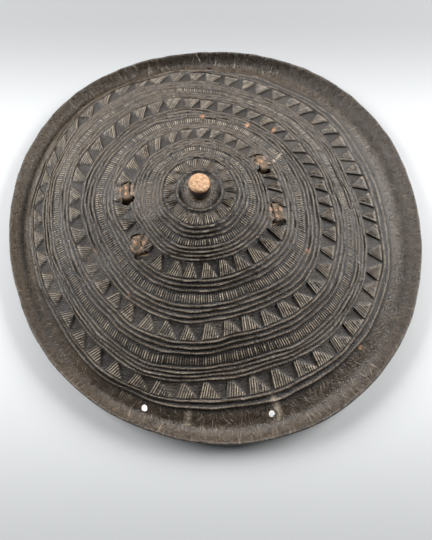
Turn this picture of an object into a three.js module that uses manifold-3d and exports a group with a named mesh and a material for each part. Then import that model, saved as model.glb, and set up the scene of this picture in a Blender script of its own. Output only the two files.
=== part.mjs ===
// A round shield of moulded hide. The hide is one piece: a stepped dome with a knob on top, tooled in rings
// on its front, and a flange whose edge is turned up. A handle strap spans the hollow behind, and four thongs
// go out through slits in the hide and back in, round the handle's ends.
//
// Millimetres, +Z up, front up. The shield lies on the lowest ring of its flange, and the origin is on the
// surface that it lies on, at the middle of its outline.

import * as THREE from 'three';
import { mergeVertices } from 'three/addons/utils/BufferGeometryUtils.js';
import Module from 'manifold-3d';

const wasm = await Module();
wasm.setup();

// ---- Driving dimensions ----

const EDGE_RADIUS = 263.4; // mean radius of the outline
const AXIS = new THREE.Vector2(-15.4, 3.5); // the knob stands off the middle of the outline
const STEPS_ROUND = 42;
const HIDE = 6.5; // thickness, measured upright
const GAP = 0.3; // room between two pieces that touch

// The knob stands in a shallow dish, inside a raised collar.
const KNOB = { radius: 11.4, height: 19, flat: 8.2, crown: 0.6, shoulder: 3, foot: 11.6, fillet: 3 };
const COLLAR = { radius: 24, height: 94.6, dish: 1.4, lip: 2, rise: 0.4 };

// The rings of the front, from the collar outwards: each ends at its outer radius, at its height.
const RINGS = [
  { kind: 'plain', outer: 26.5, height: 93.6 },
  { kind: 'teeth', outer: 43, height: 91.1, teeth: 14 },
  { kind: 'ridges', outer: 54, height: 84.8, ridges: 2 },
  { kind: 'comb', outer: 64, height: 81.3 },
  { kind: 'ridges', outer: 76, height: 75.9, ridges: 2 },
  { kind: 'teeth', outer: 98, height: 68.7, teeth: 30 },
  { kind: 'ridges', outer: 111.5, height: 59.8, ridges: 3 },
  { kind: 'comb', outer: 123, height: 56 },
  { kind: 'ridges', outer: 139, height: 49.5, ridges: 3 },
  { kind: 'teeth', outer: 161, height: 45, teeth: 43 },
  { kind: 'ridges', outer: 175, height: 37.4, ridges: 3 },
  { kind: 'comb', outer: 187, height: 31.1 },
  { kind: 'ridges', outer: 201, height: 25, ridges: 3 },
  { kind: 'teeth', outer: 222, height: 20, teeth: 52 },
  { kind: 'ridges', outer: 230, height: 16.4, ridges: 1 },
];
const RIDGE_HEIGHT = 1.3;
const RECESS = { depth: 1.4, clear: 4, mouth: 0.36, margin: 1.6 };

// The flange and its turned-up edge, front side and then underside, as radius and height.
const FLANGE_FRONT = [[247, 6.8], [254.5, 10.5], [259, 17.5], [261.4, 20]];
const FLANGE_BACK = [[EDGE_RADIUS, 17.6], [262.2, 11], [257.5, 3.6], [252.5, 0], [246, 0], [239, 3.4]];

// The hide is not truly round. Each wave swells a ring so many times on its way round, by a share of its
// radius, first at the angle given in degrees, which turns by so much from the inner rings to the outer.
const RING_WAVES = [
  { times: 2, share: 0.038, angle: -30, turn: -23 },
  { times: 3, share: 0.008, angle: -17, turn: 14 },
  { times: 4, share: 0.013, angle: -21, turn: -13 },
  { times: 5, share: 0.0125, angle: 34, turn: 5 },
];
const EDGE_WAVES = [
  { times: 1, share: 0.065, angle: -1, turn: 0 },
  { times: 2, share: 0.017, angle: -55, turn: 0 },
  { times: 3, share: 0.0105, angle: 38, turn: 0 },
  { times: 4, share: 0.009, angle: -44, turn: 0 },
];
const WAVES_FROM = { start: 24, full: 98, last: 222, edge: 190 };

const CORD_HOLES = { radius: 3.7, ring: 240.5, angles: [88, 119.5, 254.5, 289], sides: 8, drill: 60 };

const HANDLE = {
  turn: 14, // degrees from +X
  offset: -4, // its middle line, from the knob
  reach: 95, // half its length
  plate: 39, // half the width of its ends
  grip: 15, // half the width of its middle
  flareFrom: 42,
  flareTo: 70,
  bow: 23, // how far the grip stands in from the ends
  thickness: 5,
  clear: 1.6, // between the ends and the hide
  stepsLong: 18,
  stepsWide: 4,
};

const THONG = {
  along: 80, // from the knob, along the handle
  across: 33, // from the handle's middle line
  width: 11,
  thickness: 2.6,
  length: 23,
  depth: 18.2, // from the front of the hide to the thong's inner back
  corner: 2.2,
};
const SLIT = { width: 14, tight: 3.6, open: 7.5 };

// ---- Shape of the hide ----

const radians = THREE.MathUtils.degToRad;
const { smoothstep, lerp } = THREE.MathUtils;

function swelling(waves, angle, outwards) {
  let sum = 0;
  for (const wave of waves) {
    const peak = radians(wave.angle + wave.turn * outwards);
    sum += wave.share * Math.cos(wave.times * (angle - peak));
  }
  return sum;
}

// The true distance from the knob's axis of a point that would be at `radius` on a round shield.
function wavyRadius(radius, angle) {
  const inner = smoothstep(radius, WAVES_FROM.start, WAVES_FROM.full);
  const edge = smoothstep(radius, WAVES_FROM.edge, EDGE_RADIUS);
  const outwards = THREE.MathUtils.clamp(
    (radius - WAVES_FROM.full) / (WAVES_FROM.last - WAVES_FROM.full), 0, 1);
  const rings = inner * (1 - edge) * swelling(RING_WAVES, angle, outwards);
  return radius * (1 + rings + edge * swelling(EDGE_WAVES, angle, outwards));
}

function place(radius, angle, height) {
  const reach = wavyRadius(radius, angle);
  return new THREE.Vector3(AXIS.x + reach * Math.cos(angle), AXIS.y + reach * Math.sin(angle), height);
}

function heightOn(profile, radius) {
  const next = Math.max(1, profile.findIndex(([outer]) => outer >= radius));
  const [innerRadius, innerHeight] = profile[next - 1];
  const [outerRadius, outerHeight] = profile[next];
  return lerp(innerHeight, outerHeight, (radius - innerRadius) / (outerRadius - innerRadius));
}

// The radius on a round shield of a place on the true one.
function roundRadius(spot) {
  const reach = Math.hypot(spot.x - AXIS.x, spot.y - AXIS.y);
  const angle = Math.atan2(spot.y - AXIS.y, spot.x - AXIS.x);
  return (reach * reach) / wavyRadius(reach, angle);
}

// The front as one plain slope per ring, and the smoother back, both from the middle outwards.
const FRONT = [[COLLAR.radius, COLLAR.height], ...RINGS.map((ring) => [ring.outer, ring.height])];
const BACK = [0, 20, 43, 76, 111.5, 175, 201, 230].map(
  (radius) => [radius, heightOn([[0, COLLAR.height], ...FRONT], radius) - HIDE]);

function ridgedProfile() {
  const points = [];
  let inner = FRONT[0];
  for (const ring of RINGS) {
    const outer = [ring.outer, ring.height];
    const lines = ring.kind === 'ridges' ? ring.ridges : 0;
    for (let line = 0; line < lines; line += 1) {
      const crest = (line + 0.5) / lines;
      points.push([lerp(inner[0], outer[0], crest), lerp(inner[1], outer[1], crest) + RIDGE_HEIGHT]);
      if (line < lines - 1) {
        const valley = (line + 1) / lines;
        points.push([lerp(inner[0], outer[0], valley), lerp(inner[1], outer[1], valley)]);
      }
    }
    points.push(outer);
    inner = outer;
  }
  return points;
}

function knobProfile() {
  const top = COLLAR.height + KNOB.height;
  const foot = COLLAR.height - COLLAR.dish;
  return [
    [0, top],
    [KNOB.flat, top - KNOB.crown],
    [KNOB.radius, top - KNOB.shoulder],
    [KNOB.foot, foot + KNOB.fillet],
    [KNOB.foot + KNOB.fillet, foot],
    [COLLAR.radius - COLLAR.lip, foot + COLLAR.rise],
  ];
}

// A turned shape, closed on the axis, with every ring then given its waves.
function wavyTurning(profile) {
  const points = profile.map(([radius, height]) => new THREE.Vector2(radius, height));
  const turned = new THREE.LatheGeometry(points.reverse(), STEPS_ROUND);
  turned.rotateX(Math.PI / 2);
  const position = turned.getAttribute('position');
  for (let i = 0; i < position.count; i += 1) {
    const radius = Math.hypot(position.getX(i), position.getY(i));
    const angle = Math.atan2(position.getY(i), position.getX(i));
    const moved = place(radius, angle, position.getZ(i));
    position.setXYZ(i, moved.x, moved.y, moved.z);
  }
  return turned;
}

// ---- Joining and cutting ----

const MERGE_DISTANCE = 1e-3;

function solidFrom(geometry) {
  const bare = geometry.clone();
  bare.deleteAttribute('normal');
  bare.deleteAttribute('uv');
  const merged = mergeVertices(bare, MERGE_DISTANCE);
  const kept = [];
  const index = merged.index.array;
  for (let i = 0; i < index.length; i += 3) {
    const [a, b, c] = [index[i], index[i + 1], index[i + 2]];
    if (a !== b && b !== c && c !== a) {
      kept.push(a, b, c);
    }
  }
  return new wasm.Manifold(new wasm.Mesh({
    numProp: 3,
    vertProperties: merged.attributes.position.array,
    triVerts: new Uint32Array(kept),
  }));
}

function geometryFrom(solid) {
  const mesh = solid.getMesh();
  const geometry = new THREE.BufferGeometry();
  geometry.setAttribute('position', new THREE.BufferAttribute(mesh.vertProperties, 3));
  geometry.setIndex(new THREE.BufferAttribute(mesh.triVerts, 1));
  geometry.computeVertexNormals();
  return geometry;
}

// A closed wedge between a triangle below and the same triangle above it.
function wedge(corners, depth, clear) {
  const low = corners.map((p) => new THREE.Vector3(p.x, p.y, p.z - depth));
  const high = corners.map((p) => new THREE.Vector3(p.x, p.y, p.z + clear));
  const geometry = new THREE.BufferGeometry().setFromPoints([...low, ...high]);
  geometry.setIndex([0, 2, 1, 3, 4, 5, 0, 1, 4, 0, 4, 3, 1, 2, 5, 1, 5, 4, 2, 0, 3, 2, 3, 5]);
  return geometry;
}

// The sunk triangles between the teeth of one ring: wide at the ring's inner side, pointed at its outer.
function recessesOf(ring, inner) {
  const pitch = (2 * Math.PI) / ring.teeth;
  const near = inner[0] + RECESS.margin;
  const far = ring.outer - RECESS.margin;
  const profile = [inner, [ring.outer, ring.height]];
  const wedges = [];
  for (let tooth = 0; tooth < ring.teeth; tooth += 1) {
    const middle = (tooth + 0.5) * pitch;
    const corner = (radius, angle) => place(radius, angle, heightOn(profile, radius));
    const corners = [
      corner(near, middle - RECESS.mouth * pitch),
      corner(far, middle),
      corner(near, middle + RECESS.mouth * pitch),
    ];
    wedges.push(wedge(corners, RECESS.depth, RECESS.clear));
  }
  return wedges;
}

// ---- Places on the handle and its thongs ----

const ALONG = new THREE.Vector3(Math.cos(radians(HANDLE.turn)), Math.sin(radians(HANDLE.turn)), 0);
const ACROSS = new THREE.Vector3(-ALONG.y, ALONG.x, 0);

function onHandle(along, across) {
  return new THREE.Vector3(AXIS.x, AXIS.y, 0)
    .addScaledVector(ALONG, along)
    .addScaledVector(ACROSS, HANDLE.offset + across);
}

// How the hide lies at one thong: a frame with X across the handle, Y out of the hide, Z along the handle.
function thongFrame(along, across) {
  const spot = onHandle(along, across);
  const outwards = new THREE.Vector3(spot.x - AXIS.x, spot.y - AXIS.y, 0);
  const radius = roundRadius(spot);
  const step = 4;
  const fall = (heightOn(FRONT, radius - step) - heightOn(FRONT, radius + step)) / (2 * step);
  const normal = outwards.normalize().multiplyScalar(fall).setZ(1).normalize();
  const across3 = ACROSS.clone().addScaledVector(normal, -ACROSS.dot(normal)).normalize();
  const along3 = new THREE.Vector3().crossVectors(across3, normal);
  spot.z = heightOn(FRONT, radius);
  return new THREE.Matrix4().makeBasis(across3, normal, along3).setPosition(spot);
}

const THONG_PLACES = [
  { name: 'thong_right_upper', along: THONG.along, across: THONG.across },
  { name: 'thong_right_lower', along: THONG.along, across: -THONG.across },
  { name: 'thong_left_upper', along: -THONG.along, across: THONG.across },
  { name: 'thong_left_lower', along: -THONG.along, across: -THONG.across },
];

function slitBox(frame, middle, opening, width) {
  const box = new THREE.BoxGeometry(opening, 2 * THONG.depth, width);
  box.translate(middle, -THONG.depth / 2, 0);
  return box.applyMatrix4(frame);
}

// Each thong goes through a close slit above and a wide one below.
function slitsFor({ along, across }) {
  const frame = thongFrame(along, across);
  const leg = THONG.length / 2 - THONG.thickness / 2;
  const lower = -leg - (SLIT.open - SLIT.tight) / 2;
  return [slitBox(frame, leg, SLIT.tight, SLIT.width), slitBox(frame, lower, SLIT.open, SLIT.width)];
}

// ---- The pieces ----

function shieldBody() {
  const back = BACK.toReversed();
  const profile = [...knobProfile(), FRONT[0], ...ridgedProfile(), ...FLANGE_FRONT, ...FLANGE_BACK, ...back];
  const cutters = [];
  RINGS.forEach((ring, i) => {
    if (ring.kind === 'teeth') {
      cutters.push(...recessesOf(ring, [RINGS[i - 1].outer, RINGS[i - 1].height]));
    }
  });
  for (const degrees of CORD_HOLES.angles) {
    const { radius, drill: length, sides } = CORD_HOLES;
    const drill = new THREE.CylinderGeometry(radius, radius, length, sides);
    drill.rotateX(Math.PI / 2);
    const middle = place(CORD_HOLES.ring, radians(degrees), 0);
    cutters.push(drill.translate(middle.x, middle.y, middle.z));
  }
  for (const spot of THONG_PLACES) {
    cutters.push(...slitsFor(spot));
  }
  let body = solidFrom(wavyTurning(profile));
  for (const cutter of cutters) {
    body = body.subtract(solidFrom(cutter));
  }
  return geometryFrom(body);
}

// A strap whose ends lie flat under the hide and whose middle bows in, away from it.
function handleStrap() {
  const { stepsLong, stepsWide } = HANDLE;
  const top = [];
  for (let i = 0; i <= stepsLong; i += 1) {
    const along = lerp(-HANDLE.reach, HANDLE.reach, i / stepsLong);
    const flare = smoothstep(Math.abs(along), HANDLE.flareFrom, HANDLE.flareTo);
    const half = lerp(HANDLE.grip, HANDLE.plate, flare);
    const bow = Math.cos((Math.PI / 2) * Math.min(1, Math.abs(along) / HANDLE.flareTo)) ** 2;
    for (let j = 0; j <= stepsWide; j += 1) {
      const spot = onHandle(along, lerp(-half, half, j / stepsWide));
      const seat = heightOn(BACK, Math.max(roundRadius(spot), HANDLE.flareTo));
      spot.z = seat - HANDLE.clear - HANDLE.bow * bow;
      top.push(spot);
    }
  }
  return slab(top, stepsLong, stepsWide, HANDLE.thickness);
}

// A closed slab from a grid of points on its top.
function slab(top, long, wide, thickness) {
  const bottom = top.map((p) => new THREE.Vector3(p.x, p.y, p.z - thickness));
  const index = [];
  const at = (i, j) => i * (wide + 1) + j;
  const under = (i, j) => at(i, j) + top.length;
  const quad = (a, b, c, d) => index.push(a, b, c, a, c, d);
  for (let i = 0; i < long; i += 1) {
    for (let j = 0; j < wide; j += 1) {
      quad(at(i, j), at(i + 1, j), at(i + 1, j + 1), at(i, j + 1));
      quad(under(i, j), under(i, j + 1), under(i + 1, j + 1), under(i + 1, j));
    }
    quad(at(i, 0), under(i, 0), under(i + 1, 0), at(i + 1, 0));
    quad(at(i, wide), at(i + 1, wide), under(i + 1, wide), under(i, wide));
  }
  for (let j = 0; j < wide; j += 1) {
    quad(at(0, j), at(0, j + 1), under(0, j + 1), under(0, j));
    quad(at(long, j), under(long, j), under(long, j + 1), at(long, j + 1));
  }
  const geometry = new THREE.BufferGeometry().setFromPoints([...top, ...bottom]);
  geometry.setIndex(index);
  return geometry;
}

function handle() {
  let strap = solidFrom(handleStrap());
  for (const spot of THONG_PLACES) {
    for (const slit of slitsFor(spot)) {
      strap = strap.subtract(solidFrom(slit));
    }
  }
  return geometryFrom(strap);
}

function roundedBox(shape, left, right, low, high, corner) {
  shape.moveTo(left + corner, low);
  shape.lineTo(right - corner, low);
  shape.quadraticCurveTo(right, low, right, low + corner);
  shape.lineTo(right, high - corner);
  shape.quadraticCurveTo(right, high, right - corner, high);
  shape.lineTo(left + corner, high);
  shape.quadraticCurveTo(left, high, left, high - corner);
  shape.lineTo(left, low + corner);
  shape.quadraticCurveTo(left, low, left + corner, low);
  return shape;
}

// One thong: a closed loop that lies on the front of the hide, goes in through both slits and meets behind
// the handle's end.
function thong({ along, across }) {
  const half = THONG.length / 2;
  const inner = half - THONG.thickness;
  const lift = 2 * GAP;
  const outline = roundedBox(new THREE.Shape(), -half, half,
    -THONG.depth - THONG.thickness, lift + THONG.thickness, THONG.corner);
  outline.holes.push(roundedBox(new THREE.Path(), -inner, inner, -THONG.depth, lift, THONG.corner / 3));
  const strip = { depth: THONG.width, bevelEnabled: false, curveSegments: 2 };
  const loop = new THREE.ExtrudeGeometry(outline, strip);
  loop.translate(0, 0, -THONG.width / 2);
  return loop.applyMatrix4(thongFrame(along, across));
}

// ---- Assembly ----

function piece(name, geometry, colour, roughness) {
  const material = new THREE.MeshStandardMaterial({ color: colour, roughness, metalness: 0 });
  const mesh = new THREE.Mesh(geometry, material);
  mesh.name = name;
  return mesh;
}

const shield = new THREE.Group();
shield.add(piece('shield_body', shieldBody(), 0x4a4038, 0.55));
shield.add(piece('handle', handle(), 0x5a4231, 0.7));
for (const spot of THONG_PLACES) {
  shield.add(piece(spot.name, thong(spot), 0x8a6a4a, 0.75));
}

export default shield;
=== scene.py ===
"""A round shield of tooled hide: the domed hide itself, the handle strap in its hollow and four thongs.

Everything is in metres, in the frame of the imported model: +Z out of the front of the shield, which lies on
the lowest ring of its flange. Sizes that are easier to read in millimetres are named so and carry MM.
"""

import math

import bpy
import numpy as np
from mathutils import Matrix, Vector


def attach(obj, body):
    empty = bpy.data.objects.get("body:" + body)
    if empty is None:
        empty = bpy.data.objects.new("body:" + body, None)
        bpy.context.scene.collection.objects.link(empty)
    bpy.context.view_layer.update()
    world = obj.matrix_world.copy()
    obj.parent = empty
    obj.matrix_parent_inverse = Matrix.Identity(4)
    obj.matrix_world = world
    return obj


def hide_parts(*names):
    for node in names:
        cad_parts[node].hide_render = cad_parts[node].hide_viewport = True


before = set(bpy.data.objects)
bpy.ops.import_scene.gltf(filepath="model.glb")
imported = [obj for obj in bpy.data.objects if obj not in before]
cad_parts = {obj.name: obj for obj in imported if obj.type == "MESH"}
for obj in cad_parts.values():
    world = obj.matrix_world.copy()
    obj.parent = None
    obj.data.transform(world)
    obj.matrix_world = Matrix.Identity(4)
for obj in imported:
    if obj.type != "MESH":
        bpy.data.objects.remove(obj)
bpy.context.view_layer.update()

MM = 0.001
TURN = 2 * math.pi

# ---- The form of the hide, in millimetres, as the solid has it ----

EDGE_RADIUS = 263.4
AXIS = (-15.4, 3.5)  # the knob stands off the middle of the outline
HIDE = 6.5

# The slopes of the front, from the collar outwards: radius and height.
FRONT = [
    (24, 94.6), (26.5, 93.6), (43, 91.1), (54, 84.8), (64, 81.3), (76, 75.9), (98, 68.7), (111.5, 59.8),
    (123, 56), (139, 49.5), (161, 45), (175, 37.4), (187, 31.1), (201, 25), (222, 20), (230, 16.4),
    (247, 6.8),
]
SOFT_CORNERS = 1.6  # how far the turns between two slopes are rounded

KNOB_RADIUS = 11.4
KNOB_TOP = 113.6
DISH = 93.2  # height of the shallow dish that the knob stands in

# Each wave swells a ring so many times on its way round: times, share of the radius, angle and turn in
# degrees. The rings follow one set and the edge another.
RING_WAVES = [(2, 0.038, -30, -23), (3, 0.008, -17, 14), (4, 0.013, -21, -13), (5, 0.0125, 34, 5)]
EDGE_WAVES = [(1, 0.065, -1, 0), (2, 0.017, -55, 0), (3, 0.0105, 38, 0), (4, 0.009, -44, 0)]
WAVES_START, WAVES_FULL, WAVES_LAST, WAVES_EDGE = 24, 98, 222, 190

# ---- The tooling of the front ----

COLUMNS = 192  # columns of faces round the plain parts of the hide
RIDGE_HALF = (1.55, 0.55)  # where a raised line's foot and its crest are, from its middle
RIDGES = [
    24.4,
    42.8, 47.4, 51.9,
    64.0, 68.1, 72.3, 76.3,
    98.9, 103.5, 108.4,
    124.0, 129.0, 134.4, 139.6,
    161.4, 166.7, 172.0,
    187.8, 192.0, 196.1, 200.3,
    221.6, 227.8,
]
RIDGE_HEIGHT = 2.0
RIDGE_DUST = 0.34  # how much lighter than the ground a raised line is, where a rib is 1

# A comb is a ring of short ribs. Its columns are so many times the plain ones, four to a rib.
COMBS = [
    {"inner": 54.2, "outer": 62.2, "times": 3, "height": 1.45},
    {"inner": 111.0, "outer": 122.0, "times": 6, "height": 1.35},
    {"inner": 174.8, "outer": 185.8, "times": 9, "height": 1.25},
]
RIB_COLUMNS = 4

FULL_DEPTH = 1.3
# A ring of teeth is a ring of hatched triangles, each with its point inwards, and plain sunk ones between.
TEETH = [
    {"inner": 27.2, "outer": 40.8, "rows": 8, "times": 3,
     "teeth": 14, "ribs": 6, "lean": 0.2, "depth": 0.5},
    {"inner": 78.6, "outer": 97.0, "rows": 10, "times": 5,
     "teeth": 30, "ribs": 4, "lean": 0.62, "depth": FULL_DEPTH},
    {"inner": 141.8, "outer": 159.6, "rows": 10, "times": 6,
     "teeth": 43, "ribs": 3, "lean": 0.6, "depth": FULL_DEPTH},
    {"inner": 202.6, "outer": 219.8, "rows": 10, "times": 8,
     "teeth": 52, "ribs": 3, "lean": 0.55, "depth": FULL_DEPTH},
]
TOOTH_RISE = 0.3
HATCH_HEIGHT = 1.35
FLANGE_ROWS = [231.5, 234.5, 237.5, 240.5, 243.5, 246]
TOOLING_SEED = 7


def deselect_all():
    for thing in bpy.context.selected_objects:
        thing.select_set(False)


def edit(piece, mode="VERT"):
    """Opens one piece in edit mode with nothing of it selected."""
    deselect_all()
    bpy.context.view_layer.objects.active = piece
    piece.select_set(True)
    bpy.ops.object.mode_set(mode="EDIT")
    bpy.ops.mesh.select_mode(type=mode)
    bpy.ops.mesh.select_all(action="DESELECT")


def close_edit():
    bpy.ops.object.mode_set(mode="OBJECT")


def smoothstep(value, low, high):
    share = np.clip((value - low) / (high - low), 0, 1)
    return share * share * (3 - 2 * share)


def swelling(waves, angle, outwards):
    total = 0
    for times, share, peak, turn in waves:
        total = total + share * np.cos(times * (angle - np.radians(peak + turn * outwards)))
    return total


def wavy_radius(radius, angle):
    """The true distance from the knob's axis of a point that would be at this radius on a round shield."""
    inner = smoothstep(radius, WAVES_START, WAVES_FULL)
    edge = smoothstep(radius, WAVES_EDGE, EDGE_RADIUS)
    outwards = np.clip((radius - WAVES_FULL) / (WAVES_LAST - WAVES_FULL), 0, 1)
    rings = inner * (1 - edge) * swelling(RING_WAVES, angle, outwards)
    return radius * (1 + rings + edge * swelling(EDGE_WAVES, angle, outwards))


def front_height(radius):
    radii = [place[0] for place in FRONT]
    heights = [place[1] for place in FRONT]
    steps = np.linspace(-SOFT_CORNERS, SOFT_CORNERS, 5)
    return sum(np.interp(radius + step, radii, heights) for step in steps) / len(steps)


# ---- The hide's own mesh ----

def front_rows():
    """Where the rows of faces lie, from the collar to the flange."""
    rows = []
    for crest in RIDGES:
        rows += [crest - RIDGE_HALF[0], crest - RIDGE_HALF[1], crest + RIDGE_HALF[1], crest + RIDGE_HALF[0]]
    for comb in COMBS:
        rows += list(np.linspace(comb["inner"], comb["outer"], 5))
    for ring in TEETH:
        rows += list(np.linspace(ring["inner"], ring["outer"], ring["rows"]))
    return sorted(rows + FLANGE_ROWS)


def knob_rows():
    round_edge = [(KNOB_RADIUS - 2.6 * (1 - math.sin(a)), KNOB_TOP - 0.5 - 2.6 * (1 - math.cos(a)))
                  for a in np.radians([15, 38, 62, 90])]
    top = [(0, KNOB_TOP), (3.2, KNOB_TOP), (6.4, KNOB_TOP - 0.2)]
    side = [(KNOB_RADIUS + 0.2, 108), (KNOB_RADIUS + 0.1, 104.5), (KNOB_RADIUS, 101), (KNOB_RADIUS, 97.5)]
    foot = [(KNOB_RADIUS + 0.5, DISH + 2.2), (KNOB_RADIUS + 1.7, DISH + 0.7), (KNOB_RADIUS + 3.4, DISH)]
    return top + round_edge + side + foot + [(18, DISH), (20.8, DISH + 0.3)]


def edge_rows():
    """The turned-up edge and the flat ring under it."""
    upper = [(249, 7.4), (251.6, 8.6), (254.3, 10.7), (256.6, 13.4), (258.4, 16.2), (259.9, 18.7)]
    lip = [(261.2, 19.9), (262.4, 19.6), (263.2, 18), (263.3, 15), (262.8, 11.8)]
    outer = [(261.3, 8.2), (259.2, 5.2), (256.6, 2.6), (254.4, 0.8)]
    under = [(252.4, 0), (249.2, 0), (246, 0), (242.6, 1.6), (239, 3.6)]
    return upper + lip + outer + under


COLLAR_BACK = 94.6
BACK_ROWS = [234.5, 230, 222, 212, 201, 188, 175, 160, 144, 128, 111.5, 94, 76, 60, 43, 30, 20, 10, 0]


def back_rows():
    return [(radius, min(front_height(radius), COLLAR_BACK) - HIDE) for radius in BACK_ROWS]


def hide_profile():
    front = [(radius, float(front_height(radius))) for radius in front_rows()]
    return knob_rows() + front + edge_rows() + back_rows()


def turned(name, profile):
    """A closed shell, spun round the axis from a profile of radius and height in millimetres."""
    deselect_all()
    first = Vector((profile[0][0], 0, profile[0][1])) * MM
    bpy.ops.mesh.primitive_plane_add(size=MM, location=first)
    piece = bpy.context.object
    piece.name = name
    bpy.ops.object.transform_apply(location=True)
    edit(piece)
    bpy.ops.mesh.select_all(action="SELECT")
    bpy.ops.mesh.merge(type="CENTER")
    for (radius, height), (next_radius, next_height) in zip(profile, profile[1:]):
        step = Vector((next_radius - radius, 0, next_height - height)) * MM
        bpy.ops.mesh.extrude_region_move(TRANSFORM_OT_translate={"value": step})
    bpy.ops.mesh.select_all(action="SELECT")
    bpy.ops.mesh.spin(steps=COLUMNS, angle=TURN, center=(0, 0, 0), axis=(0, 0, 1))
    bpy.ops.mesh.select_all(action="SELECT")
    bpy.ops.mesh.remove_doubles(threshold=0.01 * MM)
    bpy.ops.mesh.normals_make_consistent(inside=False)
    close_edit()
    return piece


def places_of(piece):
    spots = np.zeros(len(piece.data.vertices) * 3)
    piece.data.vertices.foreach_get("co", spots)
    return spots.reshape(-1, 3) / MM


def add_columns(piece, inner, outer, times):
    """Cuts every face between two radii of the front into so many columns."""
    spots = places_of(piece)
    radius = np.hypot(spots[:, 0], spots[:, 1])
    on_front = spots[:, 2] > front_height(radius) - HIDE / 2
    wanted = on_front & (radius > inner - 0.01) & (radius < outer + 0.01)
    ends = np.zeros(len(piece.data.edges) * 2, dtype=int)
    piece.data.edges.foreach_get("vertices", ends)
    ends = ends.reshape(-1, 2)
    level = np.abs(radius[ends[:, 0]] - radius[ends[:, 1]]) < 0.01
    chosen = wanted[ends[:, 0]] & wanted[ends[:, 1]] & level
    edit(piece, "EDGE")
    close_edit()
    piece.data.edges.foreach_set("select", chosen)
    bpy.ops.object.mode_set(mode="EDIT")
    bpy.ops.mesh.subdivide(number_cuts=times - 1, ngon=False, quadcorner="INNERVERT")
    close_edit()


def hide_mesh():
    piece = turned("tooled_hide", hide_profile())
    for band in COMBS + TEETH:
        add_columns(piece, band["inner"], band["outer"], band["times"])
    return piece


# ---- Tooling, wear and the hand-made unevenness ----

STAR_LEANS_FROM = 130  # degrees round where the teeth lean most
STRAIGHT = 0.25  # share of the lean that is left on the other side


def lean_share(angle):
    return STRAIGHT + (1 - STRAIGHT) * (0.5 + 0.5 * np.cos(angle - math.radians(STAR_LEANS_FROM)))


def columns_of(spots):
    """The radius of each point's row, and how many plain columns round from +X it is."""
    step = TURN / COLUMNS
    angle = np.arctan2(spots[:, 1], spots[:, 0]) % TURN
    column = np.floor(angle / step + 1e-3)
    from_middle = angle - (column + 0.5) * step
    radius = np.hypot(spots[:, 0], spots[:, 1]) * np.cos(from_middle) / math.cos(step / 2)
    return radius, column + 0.5 + np.tan(from_middle) / (2 * math.tan(step / 2))


def angle_on_hide(radius, column):
    """Columns follow the hatching, so that they slant across each ring of teeth."""
    angle = column * TURN / COLUMNS
    turned_by = 0
    for ring in TEETH:
        across = np.clip((radius - ring["inner"]) / (ring["outer"] - ring["inner"]), 0, 1)
        turned_by = turned_by + across * ring["lean"] * lean_share(angle) * TURN / ring["teeth"]
    return angle - turned_by


def ripple(angle, radius, times, length, phase):
    """One slow wave over the hide, so many times round and of this length in millimetres outwards."""
    return np.sin(times * angle + TURN * radius / length + phase)


def worn(angle, radius):
    """Where the tooling is rubbed nearly smooth, from 0 to 1."""
    patches = 0
    for middle, reach, inner, outer, amount in WORN_PLACES:
        away = np.abs((np.degrees(angle) - middle + 180) % 360 - 180)
        here = 1 - smoothstep(away, reach * 0.5, reach)
        here = here * smoothstep(radius, inner - 4, inner + 4)
        here = here * (1 - smoothstep(radius, outer - 4, outer + 4))
        patches = np.maximum(patches, amount * here)
    uneven = 0.12 * ripple(angle, radius, 5, 61, 1.0) + 0.1 * ripple(angle, radius, 9, -47, 2.3)
    return np.clip(patches + uneven, 0, 1)


# Middle and half width in degrees, inner and outer radius, and how much is worn away.
WORN_PLACES = [
    (188, 30, 44, 74, 0.7),
    (118, 20, 160, 202, 0.5),
    (210, 10, 124, 168, 0.35),
    (200, 34, 221, 232, 0.6),
]


def ridge_relief(radius, angle):
    crest = np.zeros_like(radius)
    for line in RIDGES:
        crest = np.maximum(crest, 1 - smoothstep(np.abs(radius - line), RIDGE_HALF[1], RIDGE_HALF[0]))
    uneven = 0.85 + 0.2 * ripple(angle, radius, 11, 19, 0.4) + 0.15 * ripple(angle, radius, 23, -13, 1.9)
    return crest * uneven


def valley_shade_and_dirt(radius):
    """Painted shade and dirt in the grooves between raised lines and at the foot of the dome, from 0 to 1.
    """
    nearest = np.min(np.abs(radius[:, None] - np.array(RIDGES)), axis=1)
    between_lines = smoothstep(nearest, RIDGE_HALF[1], RIDGE_HALF[0]) * (1 - smoothstep(nearest, 3.2, 4.2))
    foot = smoothstep(radius, 228.5, 230) * (1 - smoothstep(radius, 232, 236))
    return np.maximum(between_lines * (radius < 231), 0.75 * foot)


def comb_relief(comb, radius, column, chance):
    place = np.round(column * comb["times"]).astype(int)
    ribs = COLUMNS * comb["times"] // RIB_COLUMNS
    rib = ((place + RIB_COLUMNS // 2) // RIB_COLUMNS) % ribs
    strength = chance.uniform(0.45, 1.1, ribs)[rib]
    wave = 0.5 + 0.5 * np.cos(TURN * place / RIB_COLUMNS)
    across = (radius - comb["inner"]) / (comb["outer"] - comb["inner"])
    ends = smoothstep(across, -0.01, 0.2) * (1 - smoothstep(across, 0.8, 1.01))
    inside = (across > -0.01) & (across < 1.01)
    return wave * strength * ends * inside, inside * 1.0


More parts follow.
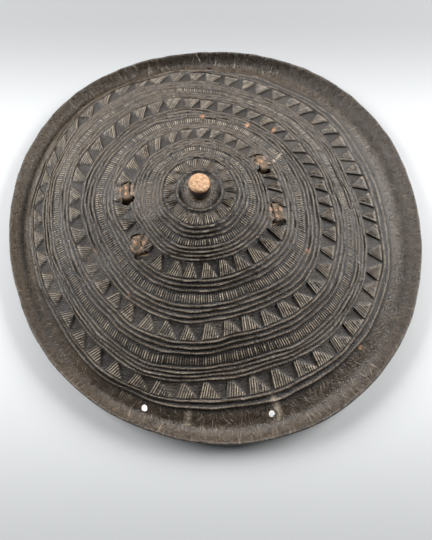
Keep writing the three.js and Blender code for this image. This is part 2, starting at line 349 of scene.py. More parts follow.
def tooth_relief(ring, radius, column, chance):
    """Shares from 0 to 1: how much each point is hatched rib, sunk hollow and raised ground."""
    total = COLUMNS * ring["times"]
    teeth = ring["teeth"]
    pitch = total / teeth
    place = np.round(column * ring["times"]).astype(int) % total
    starts = np.round((np.arange(teeth) + chance.uniform(-0.07, 0.07, teeth)) * pitch).astype(int)
    tooth = np.searchsorted(starts, place, side="right") - 1
    from_start = (place - starts[tooth]) % total
    point = (chance.uniform(0.08, 0.26, teeth) * pitch)[tooth]
    base = (chance.uniform(0.76, 0.97, teeth) * pitch)[tooth]
    across = np.clip((radius - ring["inner"]) / (ring["outer"] - ring["inner"]), 0, 1)
    width = point + (base - point) * across
    on_tooth = 1 - smoothstep(from_start, width - 0.9, width + 0.9)
    inside = (radius > ring["inner"] - 0.01) & (radius < ring["outer"] + 0.01)
    strength = chance.uniform(0.5, 1.15, total // ring["ribs"] + 1)[place // ring["ribs"]]
    line = 0.5 + 0.5 * np.cos(TURN * (from_start % ring["ribs"]) / ring["ribs"])
    ends = smoothstep(across, -0.01, 0.12) * (1 - smoothstep(across, 0.9, 1.01))
    foot = smoothstep(across, 0.84, 0.93) * (1 - smoothstep(across, 0.96, 1.01))
    hatch = on_tooth * np.maximum(line * strength * ends, 0.75 * foot)
    sunk = (1 - on_tooth) * smoothstep(across, -0.01, 0.1) * (1 - smoothstep(across, 0.86, 1))
    depth = chance.uniform(0.6, 1.15, teeth)[tooth]
    return hatch * inside, sunk * depth * inside, on_tooth * ends * inside


def spot(angle, radius, at, out, reach_round, reach_out):
    """A soft patch, 1 in its middle, at an angle in degrees and a true radius.

    Both reaches are in millimetres.
    """
    round_by = np.radians((np.degrees(angle) - at + 180) % 360 - 180) * radius
    return np.exp(-((round_by / reach_round) ** 2) - ((radius - out) / reach_out) ** 2)


# Angle in degrees, true radius, reach round and outwards in millimetres, and strength.
RUBBED_SPOTS = [
    (63, 125.5, 3.5, 5, 1.0), (50, 141, 3, 7, 0.8), (90, 124, 3, 5, 0.9), (233, 134, 2.6, 6, 0.9),
    (335, 135, 5, 5, 0.6), (319, 246, 4, 4, 0.7), (205, 139, 9, 16, 0.35), (212, 158, 12, 10, 0.3),
    (198, 168, 10, 6, 0.3), (30, 92, 8, 6, 0.35),
]


def tool(piece, swollen_places):
    """Moves every point of the round, plain hide to its true place, and notes what the finish follows."""
    spots = places_of(piece)
    chance = np.random.default_rng(TOOLING_SEED)
    radius, column = columns_of(spots)
    height = spots[:, 2]
    on_front = (height > front_height(radius) - HIDE / 2) & (radius > 22) & (radius < 247.5)
    angle = angle_on_hide(radius, column)
    true_radius = wavy_radius(radius, angle)

    rubbed_smooth = worn(angle, radius)
    crest = ridge_relief(radius, angle)
    raised = RIDGE_HEIGHT * crest
    crest = RIDGE_DUST * crest
    # painted shade on the lip's outer side, which faces down and away from the light
    groove_shade_and_dirt = np.maximum(valley_shade_and_dirt(radius), 0.55 * smoothstep(radius, 261.4, 262.6) * (height < 18.5))
    # sunk: how much a point lies in a plain sunk triangle, where the finish paints shade and grime
    sunk = np.zeros_like(radius)
    for comb in COMBS:
        ribs, here = comb_relief(comb, radius, column, chance)
        raised += comb["height"] * ribs
        crest = np.maximum(crest, ribs)
        # painted shade and dirt between the comb's ribs
        groove_shade_and_dirt = np.maximum(groove_shade_and_dirt, here * (1 - ribs))
    for ring in TEETH:
        hatch, hollow, ground = tooth_relief(ring, radius, column, chance)
        raised += HATCH_HEIGHT * hatch + TOOTH_RISE * ground - ring["depth"] * hollow
        crest = np.maximum(crest, hatch)
        # painted shade and dirt between the hatch lines of each tooth
        groove_shade_and_dirt = np.maximum(groove_shade_and_dirt, 0.9 * ground * (1 - hatch))
        sunk = np.maximum(sunk, hollow * ring["depth"] / FULL_DEPTH)
    keep = (1 - 0.75 * rubbed_smooth) * on_front
    raised *= keep
    crest *= keep
    groove_shade_and_dirt *= np.where(on_front, 1 - 0.6 * rubbed_smooth, height > 2)
    sunk *= keep

    # the scar and the cracks across the flange
    scar_angle = 31 + 5.5 * (true_radius - 97) / 28
    scar = spot(angle, true_radius, scar_angle, 111, 1.3, 99) * smoothstep(true_radius, 95, 99)
    scar = scar * (1 - smoothstep(true_radius, 123, 127)) * on_front
    raised += 1.3 * scar
    crest = np.maximum(crest, scar)
    for at, inner, outer in [(290.5, 228, 262), (267, 230, 258), (248, 236, 256)]:
        crack = spot(angle, true_radius, at, 0.5 * (inner + outer), 1.6, 0.62 * (outer - inner)) * on_front
        crest = np.maximum(crest, crack)
        raised += 0.5 * crack

    # swollen hide round the thongs
    swollen = np.zeros_like(radius)
    for at, out in swollen_places:
        swollen = np.maximum(swollen, spot(angle, true_radius, at, out, 13, 12))
    lumps = 0.6 + 0.7 * ripple(angle, radius, 31, 17, 0.8) * ripple(angle, radius, 19, -11, 2.0)
    raised = raised * (1 - 0.8 * swollen * on_front) + 2.2 * swollen * lumps * on_front
    crest = np.maximum(crest * (1 - swollen), 0.75 * swollen * lumps * on_front)
    sunk *= 1 - swollen
    groove_shade_and_dirt *= 1 - 0.6 * swollen

    away = smoothstep(radius, 24, 60)
    wander = 0.7 * ripple(angle, radius, 7, 150, 0.3)
    outer = smoothstep(radius, 60, 190)
    wander += outer * (0.6 * ripple(angle, radius, 13, -90, 1.7) + 0.4 * ripple(angle, radius, 21, 60, 2.9))
    wander += 0.22 * outer * ripple(angle, radius, 37, 45, 0.5)
    inside_edge = 1 - 0.6 * smoothstep(radius, 235, EDGE_RADIUS)
    true_radius = true_radius + away * inside_edge * wander
    dents = 0.9 * ripple(angle, radius, 3, 170, 0.9) + 0.5 * ripple(angle, radius, 8, -110, 2.2)
    dents += 0.25 * ripple(angle, radius, 17, 48, 1.1)
    height = height + away * (1 - smoothstep(radius, 225, 242)) * dents
    nicks = 0.35 * ripple(angle, radius, 43, 900, 0.2) + 0.3 * ripple(angle, radius, 67, 900, 1.2)
    height = height + nicks * smoothstep(spots[:, 2], 12, 19) * smoothstep(radius, 252, 258)

    slope = (front_height(radius + 1) - front_height(radius - 1)) / 2
    steep = np.sqrt(1 + slope * slope)
    true_radius = true_radius - slope / steep * raised
    height = height + raised / steep

    made = np.column_stack([
        AXIS[0] + true_radius * np.cos(angle), AXIS[1] + true_radius * np.sin(angle), height])
    piece.data.vertices.foreach_set("co", (made * MM).ravel())

    tan = np.zeros_like(radius)
    for at, out, reach_round, reach_out, strength in RUBBED_SPOTS:
        tan = np.maximum(tan, strength * spot(angle, true_radius, at, out, reach_round, reach_out))
    tan = np.maximum(tan, 0.85 * swollen * np.clip(lumps, 0, 1)) * on_front
    # how far up the knob a point is; the finish paints shade on the knob's side towards its foot from this
    knob = smoothstep(spots[:, 2], 100, 112.5)
    knob = knob * (1 - smoothstep(radius, KNOB_RADIUS + 0.1, KNOB_RADIUS + 0.4))
    note(piece, "crest", crest)
    note(piece, "groove_shade_and_dirt", groove_shade_and_dirt)
    note(piece, "sunk", sunk)
    note(piece, "rubbed", np.clip(tan, 0, 1))
    note(piece, "knob_top", knob)
    note(piece, "flange", smoothstep(radius, 228, 234) * (spots[:, 2] > 2))
    piece.data.update()


def note(piece, name, values):
    layer = piece.data.attributes.new(name, "FLOAT", "POINT")
    layer.data.foreach_set("value", np.asarray(values, dtype=np.float32))


# ---- Places of the handle and its thongs, as the solids have them, in millimetres ----

HANDLE_TURN = math.radians(14)
HANDLE_OFFSET = -4
HANDLE_REACH = 95
HANDLE_PLATE = 39
HANDLE_GRIP = 15
HANDLE_FLARE = (42, 70)
HANDLE_BOW = 23
HANDLE_CLEAR = 1.6
HANDLE_THICKNESS = 5
HANDLE_FACES = (76, 20)  # faces along the strap and across it
BACK_RADII = [0, 20, 43, 76, 111.5, 175, 201, 230]

THONG_ALONG = 80
THONG_ACROSS = 33
THONG_LENGTH = 23
THONG_DEPTH = 18.2
THONG_WIDTH = 11
THONG_THICKNESS = 2.6
THONG_FACES = (120, 8)
LOOP_CORNER = 2.6
THONGS = {
    "thong_right_upper": (THONG_ALONG, THONG_ACROSS),
    "thong_right_lower": (THONG_ALONG, -THONG_ACROSS),
    "thong_left_upper": (-THONG_ALONG, THONG_ACROSS),
    "thong_left_lower": (-THONG_ALONG, -THONG_ACROSS),
}
SLIT_WIDTH = 14
SLIT_TIGHT = 3.6
SLIT_OPEN = 7.5


def on_handle(along, across):
    """A place in the handle's plan, so far along it and across it from its middle."""
    across = across + HANDLE_OFFSET
    cos, sin = math.cos(HANDLE_TURN), math.sin(HANDLE_TURN)
    return AXIS[0] + along * cos - across * sin, AXIS[1] + along * sin + across * cos


def round_radius(x, y):
    """The radius on a round shield of a place on the true one."""
    reach = np.hypot(x - AXIS[0], y - AXIS[1])
    return reach * reach / wavy_radius(reach, np.arctan2(y - AXIS[1], x - AXIS[0]))


def plain_front(radius):
    return np.interp(radius, [0] + [place[0] for place in FRONT], [94.6] + [place[1] for place in FRONT])


def plain_back(radius):
    return np.interp(radius, BACK_RADII, [plain_front(edge) - HIDE for edge in BACK_RADII])


def thong_frame(along, across):
    """X across the handle, Y out of the hide and Z along the handle, in metres at the front of the hide."""
    x, y = on_handle(along, across)
    outwards = Vector((x - AXIS[0], y - AXIS[1], 0)).normalized()
    radius = float(round_radius(x, y))
    fall = float(plain_front(radius - 4) - plain_front(radius + 4)) / 8
    normal = (outwards * fall + Vector((0, 0, 1))).normalized()
    sideways = Vector((-math.sin(HANDLE_TURN), math.cos(HANDLE_TURN), 0))
    sideways = (sideways - normal * sideways.dot(normal)).normalized()
    forwards = sideways.cross(normal)
    place = Vector((x, y, float(plain_front(radius)))) * MM
    turn = Matrix((sideways, normal, forwards)).transposed().to_4x4()
    return Matrix.Translation(place) @ turn


def thong_spots():
    """Angle in degrees and true radius of each thong's middle."""
    found = []
    for along, across in THONGS.values():
        x, y = on_handle(along, across)
        angle = math.degrees(math.atan2(y - AXIS[1], x - AXIS[0]))
        found.append((angle, math.hypot(x - AXIS[0], y - AXIS[1])))
    return found


# ---- Cutting the hide: slits for the thongs and holes for cords ----

CORD_HOLES = {"radius": 3.7, "ring": 240.5, "angles": (88, 119.5, 254.5, 289)}


def cutter(name, radius, depth):
    deselect_all()
    bpy.ops.mesh.primitive_cylinder_add(vertices=32, radius=radius * MM, depth=depth * MM)
    piece = bpy.context.object
    piece.name = name
    return piece


def set_in_place(piece, matrix):
    piece.data.transform(matrix)
    piece.matrix_world = Matrix.Identity(4)


def slit_cutters():
    """Upright ovals: a close one at the upper end of each thong and a wide one at the lower."""
    made = []
    leg = THONG_LENGTH / 2 - THONG_THICKNESS / 2
    lower = -leg - (SLIT_OPEN - SLIT_TIGHT) / 2
    ovals = ((leg, SLIT_TIGHT + 0.8, SLIT_WIDTH - 1), (lower, SLIT_OPEN + 2, SLIT_WIDTH + 4))
    for along, across in THONGS.values():
        frame_here = thong_frame(along, across)
        for middle, opening, width in ovals:
            oval = cutter("slit", 0.5, 2 * THONG_DEPTH)
            shape = Matrix.Diagonal((opening, width, 1, 1))
            upright = Matrix.Rotation(math.pi / 2, 4, "X")
            set_in_place(oval, frame_here @ Matrix.Translation((middle * MM, 0, 0)) @ upright @ shape)
            made.append(oval)
    return made


def cord_hole_cutters():
    made = []
    for degrees in CORD_HOLES["angles"]:
        angle = math.radians(degrees)
        reach = float(wavy_radius(CORD_HOLES["ring"], angle))
        spot_here = Vector((AXIS[0] + reach * math.cos(angle), AXIS[1] + reach * math.sin(angle), 10)) * MM
        hole = cutter("cord_hole", CORD_HOLES["radius"], 60)
        set_in_place(hole, Matrix.Translation(spot_here))
        made.append(hole)
    return made


def cut(piece, cutters):
    deselect_all()
    for tool_piece in cutters:
        tool_piece.select_set(True)
    bpy.context.view_layer.objects.active = cutters[0]
    bpy.ops.object.join()
    joined = bpy.context.object
    modifier = piece.modifiers.new("slits_and_holes", "BOOLEAN")
    modifier.operation = "DIFFERENCE"
    modifier.object = joined
    modifier.solver = "EXACT"
    bpy.context.view_layer.objects.active = piece
    bpy.ops.object.modifier_apply(modifier=modifier.name)
    bpy.data.objects.remove(joined)


# ---- The handle strap ----

def handle_strap():
    """A flat strip whose middle bows in, away from the hide, and whose broad ends lie against it."""
    deselect_all()
    bpy.ops.mesh.primitive_grid_add(x_subdivisions=HANDLE_FACES[0], y_subdivisions=HANDLE_FACES[1], size=2)
    piece = bpy.context.object
    piece.name = "handle_strap"
    flat = places_of(piece) * MM
    along = flat[:, 0] * HANDLE_REACH
    side = flat[:, 1]
    flare = smoothstep(np.abs(along), *HANDLE_FLARE)
    corner = 1 - 0.1 * smoothstep(np.abs(along), HANDLE_REACH - 12, HANDLE_REACH) ** 2
    uneven = 1 + 0.03 * np.sin(along / 9) * np.sign(side) + 0.02 * np.sin(along / 4.1 + 1)
    half = (HANDLE_GRIP + (HANDLE_PLATE - HANDLE_GRIP) * flare) * corner * uneven
    across = half * side
    x, y = on_handle(along, across)
    bow = np.cos(TURN / 4 * np.minimum(1, np.abs(along) / HANDLE_FLARE[1])) ** 2
    seat = plain_back(np.maximum(round_radius(x, y), HANDLE_FLARE[1]))
    curl = 2.2 * (1 - flare) * side ** 2  # the grip's edges are rolled away from the hand's palm
    height = seat - HANDLE_CLEAR - 0.6 - HANDLE_BOW * bow + curl
    made = np.column_stack([x, y, height])
    piece.data.vertices.foreach_set("co", (made * MM).ravel())
    thicken = piece.modifiers.new("thickness", "SOLIDIFY")
    thicken.thickness = (HANDLE_THICKNESS - 1.2) * MM
    thicken.offset = -1
    rounded = piece.modifiers.new("worn_edges", "BEVEL")
    rounded.width = 1.3 * MM
    rounded.segments = 3
    rounded.limit_method = "ANGLE"
    for modifier in (thicken, rounded):
        bpy.ops.object.modifier_apply(modifier=modifier.name)
    note(piece, "grip", 1 - smoothstep(np.hypot(*(places_of(piece)[:, :2] - np.array(AXIS)).T), 30, 62))
    return piece


# ---- The thongs ----

def loop_path(share, half, low, high, corner):
    """A rounded oblong run round once as share goes from 0 to 1, from the middle of its lower side."""
    points = []
    for middle_x, middle_y, start in (
        (half - corner, low + corner, -90), (half - corner, high - corner, 0),
        (-half + corner, high - corner, 90), (-half + corner, low + corner, 180),
    ):
        for degrees in np.linspace(start, start + 90, 7):
            turn = math.radians(degrees)
            points.append((middle_x + corner * math.cos(turn), middle_y + corner * math.sin(turn)))
    points = np.array([(0, low)] + points + [(0, low)])
    lengths = np.concatenate([[0], np.cumsum(np.hypot(*np.diff(points, axis=0).T))])
    run = np.asarray(share) * lengths[-1]
    return np.interp(run, lengths, points[:, 0]), np.interp(run, lengths, points[:, 1])


def thong(name, along, across, seed):
    """A worn strip of rawhide: over the front of the hide, in through both slits, its ends lapped behind."""
    deselect_all()
    chance = np.random.default_rng(seed)
    bpy.ops.mesh.primitive_grid_add(x_subdivisions=THONG_FACES[0], y_subdivisions=THONG_FACES[1], size=2)
    piece = bpy.context.object
    piece.name = name
    flat = places_of(piece) * MM
    share = 0.5 + 0.5 * flat[:, 0]
    side = flat[:, 1]
    middle = THONG_THICKNESS / 2
    half_loop = THONG_LENGTH / 2 - middle
    path_x, path_y = loop_path(share, half_loop, -THONG_DEPTH - middle, middle - 0.2, LOOP_CORNER)
    shift = chance.uniform(0, TURN, 4)
    front = smoothstep(path_y, -3, 0.5)
    narrow = 1 - 0.16 * front + 0.08 * np.sin(share * 19 + shift[0]) + 0.05 * np.sin(share * 41 + shift[1])
    width = THONG_WIDTH / 2 * 0.9 * narrow
    wander = front * 0.8 * np.sin(share * 23 + shift[2])
    curl = front * (0.9 * side * side + 0.35 * np.sin(share * 37 + shift[3]) * side)
    lap = 0.9 * np.abs(flat[:, 0]) ** 12 * np.sign(flat[:, 0])
    made = np.column_stack([path_x, path_y + curl + lap * 0.6, side * width + wander])
    piece.data.vertices.foreach_set("co", (made * MM).ravel())
    set_in_place(piece, thong_frame(along, across))
    thicken = piece.modifiers.new("thickness", "SOLIDIFY")
    thicken.thickness = (THONG_THICKNESS - 1.0) * MM
    thicken.offset = 0
    rounded = piece.modifiers.new("worn_edges", "BEVEL")
    rounded.width = 0.5 * MM
    rounded.segments = 2
    rounded.limit_method = "ANGLE"
    for modifier in (thicken, rounded):
        bpy.ops.object.modifier_apply(modifier=modifier.name)
    return piece


# ---- Finishes ----

def add(tree, kind, inputs=None, **settings):
    """A shader node with its settings, and with a value or another node's output in each named input."""
    node = tree.nodes.new(kind)
    for setting, value in settings.items():
        setattr(node, setting, value)
    for socket, value in (inputs or {}).items():
        if isinstance(value, bpy.types.NodeSocket):
            tree.links.new(value, node.inputs[socket])
        else:
            node.inputs[socket].default_value = value
    return node


def calc(tree, operation, first, second=0.0):
    return add(tree, "ShaderNodeMath", {0: first, 1: second}, operation=operation).outputs[0]


def between(tree, value, low, high, to_low=0.0, to_high=1.0):
    """A soft step: to_low where value is below low, to_high where it is above high."""
    inputs = {"Value": value, "From Min": low, "From Max": high, "To Min": to_low, "To Max": to_high}
    node = add(tree, "ShaderNodeMapRange", inputs, interpolation_type="SMOOTHSTEP")
    return node.outputs["Result"]


def blend_colour(tree, share, first, second, kind="MIX"):
    """Sockets 6 and 7 are the Mix node's two colours, and output 2 is its colour."""
    node = add(tree, "ShaderNodeMix", {0: share, 6: first, 7: second}, data_type="RGBA", blend_type=kind)
    return node.outputs[2]


def noted(tree, name):
    return add(tree, "ShaderNodeAttribute", attribute_name=name).outputs["Fac"]


def noise(tree, place, scale, detail=4.0, roughness=0.55, distortion=0.0):
    node = add(tree, "ShaderNodeTexNoise", {"Vector": place, "Scale": scale, "Detail": detail,
                                            "Roughness": roughness, "Distortion": distortion})
    return node.outputs["Fac"]


def new_group(name, inputs, outputs):
    group = bpy.data.node_groups.new(name, "ShaderNodeTree")
    for label, default in inputs.items():
        socket = group.interface.new_socket(name=label, in_out="INPUT", socket_type="NodeSocketFloat")
        socket.default_value = default
    for label in outputs:
        group.interface.new_socket(name=label, in_out="OUTPUT", socket_type="NodeSocketFloat")
    entry = group.nodes.new("NodeGroupInput")
    leave = group.nodes.new("NodeGroupOutput")
    return group, entry, leave


def leather_grain():
    """Fine pebbling, creases and pores. Size is the pebble's, in metres."""
    group, entry, leave = new_group("leather_grain", {"Size": 0.002, "Creases": 0.5}, ["Height", "Pores"])
    place = add(group, "ShaderNodeTexCoord").outputs["Object"]
    scale = calc(group, "DIVIDE", 1.0, entry.outputs["Size"])
    pebble = add(group, "ShaderNodeTexVoronoi", {"Vector": place, "Scale": scale, "Randomness": 0.95},
                 feature="SMOOTH_F1").outputs["Distance"]
    crease_scale = calc(group, "MULTIPLY", scale, 0.16)
    crease = noise(group, place, crease_scale, 6.0, 0.62, 0.6)
    fine = noise(group, place, calc(group, "MULTIPLY", scale, 1.7), 3.0, 0.6)
    height = calc(group, "ADD", calc(group, "MULTIPLY", pebble, -0.35), calc(group, "MULTIPLY", fine, 0.5))
    height = calc(group, "ADD", height, calc(group, "MULTIPLY", crease, entry.outputs["Creases"]))
    group.links.new(height, leave.inputs["Height"])
    group.links.new(between(group, fine, 0.36, 0.5, 1.0, 0.0), leave.inputs["Pores"])
    return group


SCRATCH_TURNS = (8, 67, 131)


def scuffs():
    """Thin scratches in three directions. Length and Width are in metres, Amount from 0 to 1."""
    group, entry, leave = new_group("scuffs", {"Width": 0.0012, "Length": 0.03, "Amount": 0.5}, ["Lines"])
    place = add(group, "ShaderNodeTexCoord").outputs["Object"]
    across = calc(group, "DIVIDE", 1.0, entry.outputs["Width"])
    along = calc(group, "DIVIDE", 1.0, entry.outputs["Length"])
    lines = None
    for degrees in SCRATCH_TURNS:
        turning = {"Vector": place, "Angle": math.radians(degrees)}
        turned_place = add(group, "ShaderNodeVectorRotate", turning, rotation_type="Z_AXIS").outputs[0]
        stretch = add(group, "ShaderNodeCombineXYZ", {"X": across, "Y": along, "Z": along}).outputs[0]
        stretched = add(group, "ShaderNodeVectorMath", {0: turned_place, 1: stretch}, operation="MULTIPLY")
        streak = between(group, noise(group, stretched.outputs[0], 1.0, 2.0, 0.5), 0.66, 0.78)
        lines = streak if lines is None else calc(group, "MAXIMUM", lines, streak)
    group.links.new(calc(group, "MULTIPLY", lines, entry.outputs["Amount"]), leave.inputs["Lines"])
    return group


def outward_strokes():
    """Short strokes that run outwards from the knob. Width and Length are in metres, Amount from 0 to 1."""
    group, entry, leave = new_group(
        "outward_strokes", {"Width": 0.0016, "Length": 0.02, "Amount": 0.5}, ["Lines"])
    place = add(group, "ShaderNodeTexCoord").outputs["Object"]
    from_knob = add(group, "ShaderNodeVectorMath", {0: place, 1: (AXIS[0] * MM, AXIS[1] * MM, 0)},
                    operation="SUBTRACT").outputs[0]
    flat = add(group, "ShaderNodeVectorMath", {0: from_knob, 1: (1, 1, 0)}, operation="MULTIPLY").outputs[0]
    reach = add(group, "ShaderNodeVectorMath", {0: flat}, operation="LENGTH").outputs["Value"]
    split = add(group, "ShaderNodeSeparateXYZ", {0: flat})
    angle = calc(group, "ARCTAN2", split.outputs["Y"], split.outputs["X"])
    sway = calc(group, "MULTIPLY", noise(group, place, 24, 2.0), 0.09)
    round_by = calc(group, "DIVIDE", calc(group, "MULTIPLY", calc(group, "ADD", angle, sway), 0.24),
                    entry.outputs["Width"])
    outwards = calc(group, "DIVIDE", reach, entry.outputs["Length"])
    spot_here = add(group, "ShaderNodeCombineXYZ", {"X": round_by, "Y": outwards}).outputs[0]
    streak = between(group, noise(group, spot_here, 1.0, 2.0, 0.5), 0.6, 0.72)
    group.links.new(calc(group, "MULTIPLY", streak, entry.outputs["Amount"]), leave.inputs["Lines"])
    return group


def patches():
    """Uneven tone, broad and fine together. Size is the broad patches', in metres."""
    group, entry, leave = new_group("patches", {"Size": 0.06}, ["Broad", "Fine"])
    place = add(group, "ShaderNodeTexCoord").outputs["Object"]
    scale = calc(group, "DIVIDE", 1.0, entry.outputs["Size"])
    broad = noise(group, place, scale, 5.0, 0.6, 0.4)
    fine = noise(group, place, calc(group, "MULTIPLY", scale, 9.0), 5.0, 0.65)
    group.links.new(between(group, broad, 0.3, 0.7), leave.inputs["Broad"])
    group.links.new(between(group, fine, 0.32, 0.68), leave.inputs["Fine"])
    return group


def placed(tree, group, **values):
    node = add(tree, "ShaderNodeGroup", node_tree=group)
    for label, value in values.items():
        node.inputs[label].default_value = value
    return node


def finish(name, roughness, specular, sheen=0.0):
    """A new material: its tree and its Principled shader."""
    material = bpy.data.materials.new(name)
    material.use_nodes = True
    tree = material.node_tree
    shader = tree.nodes["Principled BSDF"]
    shader.inputs["Roughness"].default_value = roughness
    shader.inputs["Specular IOR Level"].default_value = specular
    shader.inputs["Sheen Weight"].default_value = sheen
    return material, tree, shader


def lay(tree, shader, colour, roughness, height, depth):
    """Joins a colour, a roughness and a height, in metres, to a material's shader."""
    bump = add(tree, "ShaderNodeBump", {"Height": height, "Distance": depth, "Strength": 1.0})
    tree.links.new(colour, shader.inputs["Base Color"])
    tree.links.new(roughness, shader.inputs["Roughness"])
    tree.links.new(bump.outputs["Normal"], shader.inputs["Normal"])


BLACK_BROWN = (0.018, 0.012, 0.009, 1)
DARK_BROWN = (0.06, 0.043, 0.031, 1)
WARM_BROWN = (0.125, 0.092, 0.062, 1)
OCHRE = (0.15, 0.105, 0.055, 1)
DUST = (0.56, 0.47, 0.36, 1)
# NEAR_BLACK is the painted shade and dirt in the grooves and sunk triangles, the painted shade at the knob's
# foot, and the dark of the pores
NEAR_BLACK = (0.007, 0.005, 0.004, 1)
TAN = (0.5, 0.24, 0.11, 1)
CREAM = (0.8, 0.52, 0.3, 1)
KNOB_BROWN = (0.13, 0.05, 0.024, 1)
STRAP_BROWN = (0.15, 0.085, 0.045, 1)
GRIP_BROWN = (0.07, 0.036, 0.018, 1)
THONG_DARK = (0.075, 0.052, 0.035, 1)
THONG_PALE = (0.27, 0.19, 0.12, 1)
# the floor's colours are painted light beside the shield and painted shade towards the back and the front
FLOOR_PAINTED_LIT = (0.76, 0.78, 0.8, 1)
FLOOR_PAINTED_SHADE_BACK = (0.36, 0.37, 0.38, 1)
FLOOR_PAINTED_SHADE_FRONT = (0.45, 0.465, 0.48, 1)


def hide_finish(grain, scratch, strokes_outwards, tone):
    material, tree, shader = finish("tooled_hide", 0.5, 0.7)
    crest, groove_shade_and_dirt, sunk = noted(tree, "crest"), noted(tree, "groove_shade_and_dirt"), noted(tree, "sunk")
    rubbed, knob, flange = noted(tree, "rubbed"), noted(tree, "knob_top"), noted(tree, "flange")
    uneven = placed(tree, tone, Size=0.07)
    broad, fine = uneven.outputs["Broad"], uneven.outputs["Fine"]
    marks = placed(tree, scratch, Width=0.0011, Length=0.03, Amount=0.9).outputs["Lines"]
    skin = placed(tree, grain, Size=0.0022, Creases=0.7)
    colour = blend_colour(tree, between(tree, broad, 0.0, 1.0, 0.35, 0.9), BLACK_BROWN, DARK_BROWN)
    colour = blend_colour(tree, between(tree, fine, 0.0, 1.0, 0.1, 0.95), colour, WARM_BROWN)
    place = add(tree, "ShaderNodeTexCoord").outputs["Object"]
    # an ochre tone that grows towards the left side, in broad patches
    aside = add(tree, "ShaderNodeSeparateXYZ", {0: place}).outputs["X"]
    left = between(tree, aside, -0.22, 0.06, 0.75, 0.12)
    ochre_towards_left = calc(tree, "MULTIPLY", left, placed(tree, tone, Size=0.11).outputs["Broad"])
    colour = blend_colour(tree, ochre_towards_left, colour, OCHRE)
    colour = blend_colour(tree, calc(tree, "MULTIPLY", flange, 0.45), colour, BLACK_BROWN)
    strokes = placed(tree, strokes_outwards, Width=0.0016, Length=0.02, Amount=1.0).outputs["Lines"]
    lines = calc(tree, "MULTIPLY", marks, between(tree, flange, 0.0, 1.0, 0.25, 0.8))
    strokes = calc(tree, "MULTIPLY", strokes, between(tree, flange, 0.0, 1.0, 0.3, 0.7))
    lines = calc(tree, "MAXIMUM", lines, strokes)
    colour = blend_colour(tree, lines, colour, DUST)
    # painted shade and dirt: near black in the grooves, between ribs and hatch lines, at the dome's foot and
    # on the lip's outer side
    colour = blend_colour(tree, between(tree, groove_shade_and_dirt, 0.1, 0.9, 0.0, 0.94), colour, NEAR_BLACK)
    dusty = calc(tree, "MULTIPLY", between(tree, crest, 0.15, 1.0), between(tree, fine, 0.0, 0.75, 0.3, 1.0))
    colour = blend_colour(tree, dusty, colour, DUST)
    # painted shade and grime: the plain sunk triangles go near black
    colour = blend_colour(tree, between(tree, sunk, 0.1, 0.8, 0.0, 0.85), colour, NEAR_BLACK)
    colour = blend_colour(tree, calc(tree, "MULTIPLY", skin.outputs["Pores"], 0.45), colour, NEAR_BLACK)
    worn_through = between(tree, calc(tree, "ADD", rubbed, calc(tree, "MULTIPLY", fine, 0.35)), 0.45, 1.0)
    colour = blend_colour(tree, worn_through, colour, TAN)
    mottled = between(tree, noise(tree, place, 300, 4.0, 0.7), 0.36, 0.62)
    top = blend_colour(tree, mottled, TAN, CREAM)
    specks = between(tree, noise(tree, place, 620, 2.0), 0.58, 0.7, 0.0, 0.8)
    top = blend_colour(tree, specks, top, KNOB_BROWN)
    # the knob's side: brown, with painted shade going to near black towards its foot
    knob_side_shaded_to_foot = blend_colour(tree, between(tree, knob, 0.3, 0.85), NEAR_BLACK, KNOB_BROWN)
    knob_all = blend_colour(tree, between(tree, knob, 0.8, 1.0), knob_side_shaded_to_foot, top)
    colour = blend_colour(tree, between(tree, knob, 0.0, 0.06), colour, knob_all)
    roughness = between(tree, fine, 0.0, 1.0, 0.2, 0.4)
    roughness = calc(tree, "ADD", roughness, calc(tree, "MULTIPLY", sunk, 0.35))
    roughness = calc(tree, "ADD", roughness, calc(tree, "MULTIPLY", groove_shade_and_dirt, 0.2))
    height = calc(tree, "SUBTRACT", skin.outputs["Height"], calc(tree, "MULTIPLY", lines, 0.6))
    lay(tree, shader, colour, roughness, height, 0.0019)
    return material


def strap_finish(grain, scratch, tone):
    material, tree, shader = finish("strap_hide", 0.55, 0.45)
    grip = noted(tree, "grip")
    uneven = placed(tree, tone, Size=0.035)
    skin = placed(tree, grain, Size=0.0028, Creases=0.9)
    marks = placed(tree, scratch, Width=0.0014, Length=0.02, Amount=0.6)
    colour = blend_colour(tree, uneven.outputs["Broad"], DARK_BROWN, STRAP_BROWN)
    colour = blend_colour(tree, calc(tree, "MULTIPLY", uneven.outputs["Fine"], 0.4), colour, BLACK_BROWN)
    colour = blend_colour(tree, calc(tree, "MULTIPLY", marks.outputs["Lines"], 0.5), colour, DUST)
    colour = blend_colour(tree, calc(tree, "MULTIPLY", grip, 0.55), colour, GRIP_BROWN)
    roughness = between(tree, grip, 0.0, 1.0, 0.7, 0.36)
    lay(tree, shader, colour, roughness, skin.outputs["Height"], 0.0012)
    return material


def thong_finish(grain, scratch, tone):
    material, tree, shader = finish("thong_hide", 0.7, 0.4)
    uneven = placed(tree, tone, Size=0.012)
    skin = placed(tree, grain, Size=0.0016, Creases=1.2)
    marks = placed(tree, scratch, Width=0.0009, Length=0.008, Amount=0.8)
    colour = blend_colour(tree, uneven.outputs["Broad"], THONG_DARK, THONG_PALE)
    colour = blend_colour(tree, calc(tree, "MULTIPLY", uneven.outputs["Fine"], 0.55), colour, DARK_BROWN)
    colour = blend_colour(tree, marks.outputs["Lines"], colour, CREAM)
    roughness = between(tree, uneven.outputs["Fine"], 0.2, 0.8, 0.6, 0.8)
    lay(tree, shader, colour, roughness, skin.outputs["Height"], 0.0014)
    return material


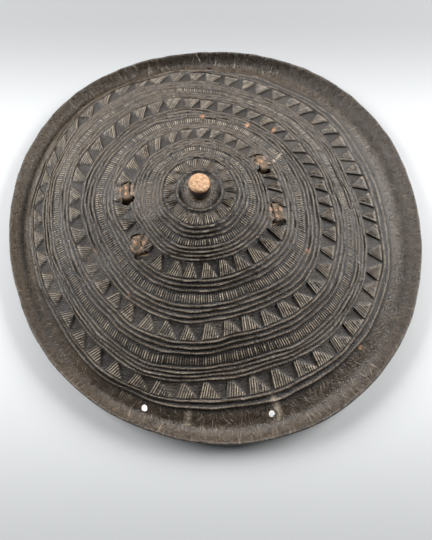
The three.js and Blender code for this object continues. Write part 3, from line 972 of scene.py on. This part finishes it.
def floor_painted_light_finish():
    """Painted light on the floor: palest on either side of the shield, with painted shade darker towards the
    front and darkest towards the back.
    """
    material, tree, shader = finish("floor_with_painted_light", 0.9, 0.08)
    place = add(tree, "ShaderNodeTexCoord").outputs["Object"]
    along = add(tree, "ShaderNodeSeparateXYZ", {0: place}).outputs["Y"]
    colour = blend_colour(tree, between(tree, along, 0.04, 0.36), FLOOR_PAINTED_LIT, FLOOR_PAINTED_SHADE_BACK)
    colour = blend_colour(tree, between(tree, along, -0.42, -0.08, 1.0, 0.0), colour, FLOOR_PAINTED_SHADE_FRONT)
    tree.links.new(colour, shader.inputs["Base Color"])
    return material


# ---- Putting it together ----

def dress(piece, node, material):
    piece.data.materials.clear()
    piece.data.materials.append(material)
    deselect_all()
    bpy.context.view_layer.objects.active = piece
    piece.select_set(True)
    bpy.ops.object.shade_smooth_by_angle(angle=math.radians(62))
    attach(piece, "root")
    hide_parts(node)


def make_floor(material):
    deselect_all()
    bpy.ops.mesh.primitive_plane_add(size=14, location=(0, 0, -0.0002))
    floor = bpy.context.object
    floor.name = "floor"
    floor.data.materials.append(material)


def look_at(thing, place, target):
    thing.location = place
    thing.rotation_euler = (Vector(target) - Vector(place)).to_track_quat("-Z", "Y").to_euler()


CAMERA_LENS = 28.87
CAMERA_PLACE = (0.0024, -0.2189, 0.5235)
CAMERA_TARGET = (0.0024, -0.0653, 0.020)


def make_camera():
    bpy.ops.object.camera_add()
    camera = bpy.context.object
    camera.data.lens = CAMERA_LENS
    look_at(camera, CAMERA_PLACE, CAMERA_TARGET)
    bpy.context.scene.camera = camera


def soft_light(name, place, target, size, power, colour):
    bpy.ops.object.light_add(type="AREA")
    light = bpy.context.object
    light.name = name
    light.data.shape = "RECTANGLE"
    light.data.size, light.data.size_y = size
    light.data.energy = power
    light.data.color = colour
    look_at(light, place, target)


def light_under_flange(angle):
    """The floor under the flange is light, so the cord holes show light."""
    bpy.ops.object.light_add(type="POINT")
    light = bpy.context.object
    light.name = "under_flange"
    light.data.energy = 0.3
    light.data.shadow_soft_size = 2 * MM
    reach = float(wavy_radius(CORD_HOLES["ring"] - 34, angle)) * MM
    light.location = (AXIS[0] * MM + reach * math.cos(angle), AXIS[1] * MM + reach * math.sin(angle), 9 * MM)


def make_lights():
    soft_light("back_window", (-0.2, 2.1, 1.5), (0, 0, 0), (2.4, 0.9), 24, (0.98, 0.99, 1.0))
    soft_light("right_window", (2.0, 0.9, 1.2), (0, 0, 0), (1.4, 1.1), 92, (1.0, 0.99, 0.97))
    soft_light("left_window", (-2.0, 0.8, 1.2), (0, 0, 0), (1.4, 1.1), 80, (1.0, 0.99, 0.98))
    for degrees in CORD_HOLES["angles"][2:]:
        light_under_flange(math.radians(degrees))
    world = bpy.data.worlds.new("room")
    world.use_nodes = True
    room = world.node_tree.nodes["Background"]
    room.inputs["Color"].default_value = (0.97, 0.985, 1.0, 1)
    room.inputs["Strength"].default_value = 0.07
    bpy.context.scene.world = world
    bpy.context.scene.view_settings.view_transform = "Standard"


def make_shield():
    grain, scratch, tone = leather_grain(), scuffs(), patches()
    hide = hide_mesh()
    tool(hide, thong_spots())
    cut(hide, slit_cutters() + cord_hole_cutters())
    dress(hide, "shield_body", hide_finish(grain, scratch, outward_strokes(), tone))
    dress(handle_strap(), "handle", strap_finish(grain, scratch, tone))
    rawhide = thong_finish(grain, scratch, tone)
    for seed, (node, (along, across)) in enumerate(THONGS.items()):
        dress(thong(node + "_strip", along, across, seed), node, rawhide)


make_camera()
make_lights()
make_floor(floor_painted_light_finish())
make_shield()
